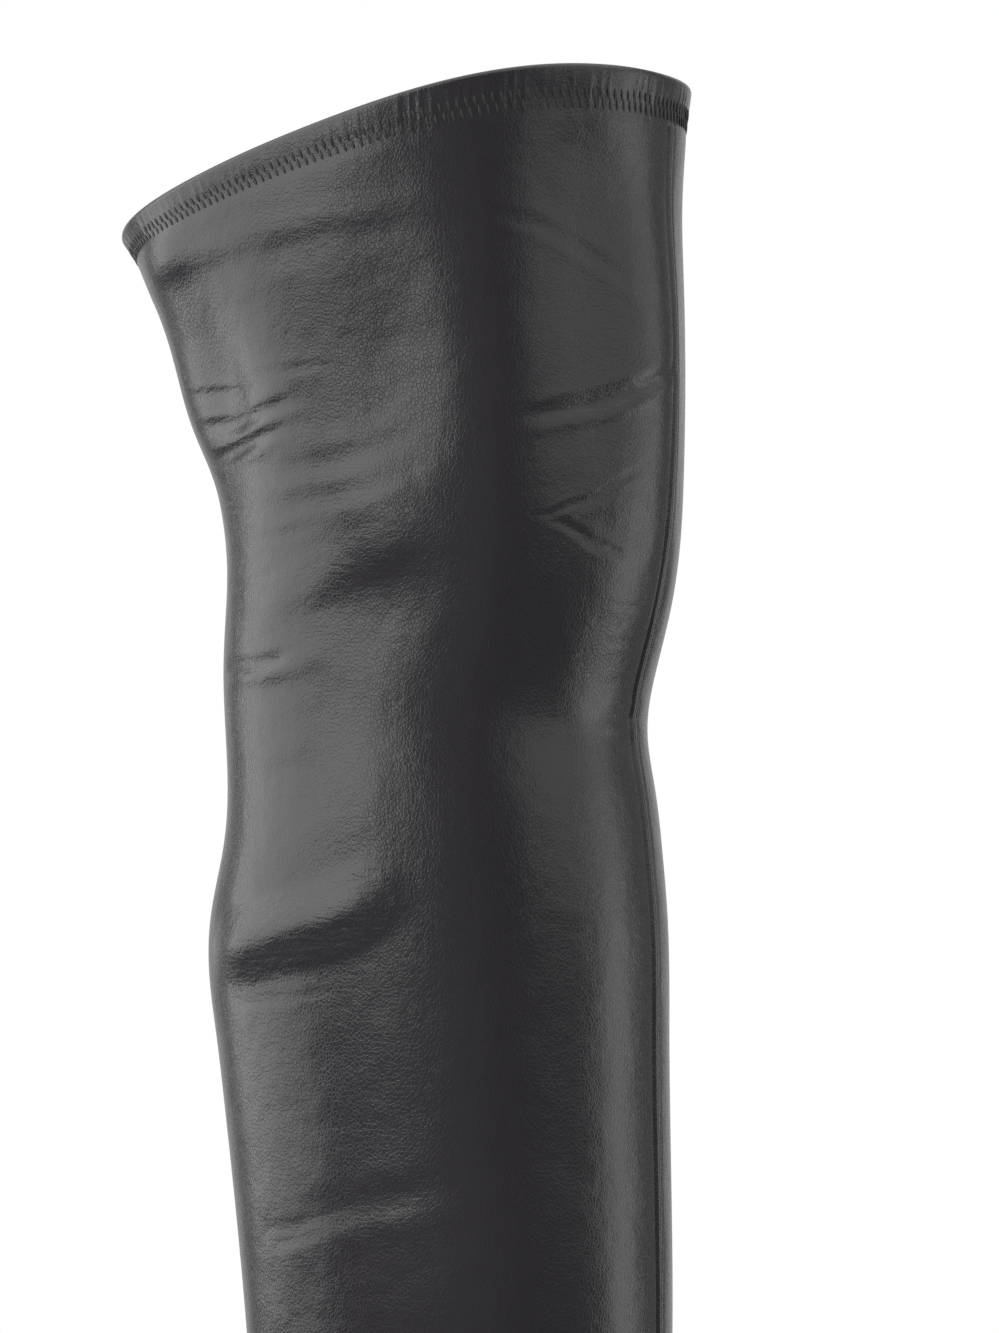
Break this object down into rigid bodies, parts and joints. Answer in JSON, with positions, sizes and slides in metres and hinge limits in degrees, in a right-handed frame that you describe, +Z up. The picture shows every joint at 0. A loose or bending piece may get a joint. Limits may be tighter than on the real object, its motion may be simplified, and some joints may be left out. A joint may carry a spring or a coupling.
{
  "type": "thigh high boot",
  "caption": "Pull-on thigh high boot for the right foot in smooth stretch leather, arched hem, block heel and thin sole.",
  "frame": {"origin": "on the floor under the middle of the boot's bounding box", "axes": "+X towards the toe, +Y towards the inner side of the leg, +Z up the shaft"},
  "size_m": [0.2876, 0.1234, 0.6803],
  "materials": {
    "upper_leather": "smooth nappa, soft sheen",
    "insole_leather": "matt",
    "outsole_rubber": "fine matt",
    "heel_cover": "smooth nappa, soft sheen",
    "lift_rubber": "matt"
  },
  "bodies": {
    "root": {"upper": "upper_leather", "insole": "insole_leather", "outsole": "outsole_rubber", "heel": "heel_cover", "top_lift": "lift_rubber"}
  },
  "joints": []
}
